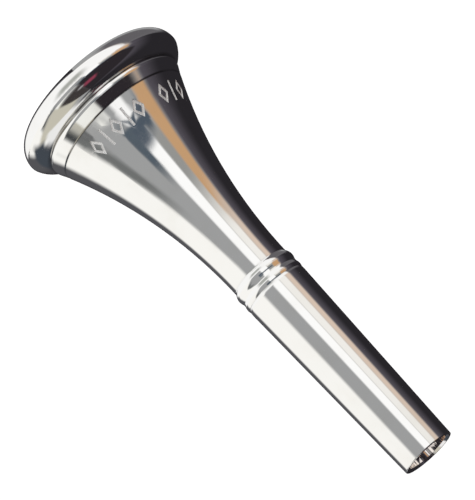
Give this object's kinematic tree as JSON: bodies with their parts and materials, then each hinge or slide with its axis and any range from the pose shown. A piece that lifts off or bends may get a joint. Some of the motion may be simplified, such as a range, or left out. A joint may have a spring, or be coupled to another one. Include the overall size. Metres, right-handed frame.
{
  "type": "french horn mouthpiece",
  "caption": "Silver-plated brass French horn mouthpiece: screw-off rim, plain band, deep funnel cup, turned collar and a tapered shank.",
  "frame": {"origin": "centre of the rim's crest, on the axis, in the plane the lips touch", "axes": "+Z along the axis from the rim to the tip of the shank; -Y faces the middle of the engraved row"},
  "size_m": [0.025, 0.025, 0.0652],
  "materials": {
    "silver_plate": "mirror-polished silver plate over brass"
  },
  "bodies": {
    "cup": {"cup": "silver_plate"},
    "spacer_ring": {"spacer_ring": "silver_plate"},
    "rim": {"rim": "silver_plate"},
    "collar_ring": {"collar_ring": "silver_plate"},
    "shank": {"shank": "silver_plate"}
  },
  "joints": [
    {"name": "rim_travel", "type": "slide", "parent": "cup", "child": "spacer_ring", "axis": [0, 0, -1], "range_m": [0, 0.00244]},
    {"name": "rim_turn", "type": "hinge", "parent": "spacer_ring", "child": "rim", "pos_m": [0, 0, 0], "axis": [0, 0, -1], "range_deg": [0, 1170]},
    {"name": "shank_travel", "type": "slide", "parent": "cup", "child": "collar_ring", "axis": [0, 0, 1], "range_m": [0, 0.00338]},
    {"name": "shank_turn", "type": "hinge", "parent": "collar_ring", "child": "shank", "pos_m": [0, 0, 0], "axis": [0, 0, 1], "range_deg": [0, 2430]}
  ],
  "couplings": [
    {"joint": "rim_travel", "follows": "rim_turn", "m_per_rad": 0.00011937},
    {"joint": "shank_travel", "follows": "shank_turn", "m_per_rad": 0.000079577}
  ]
}
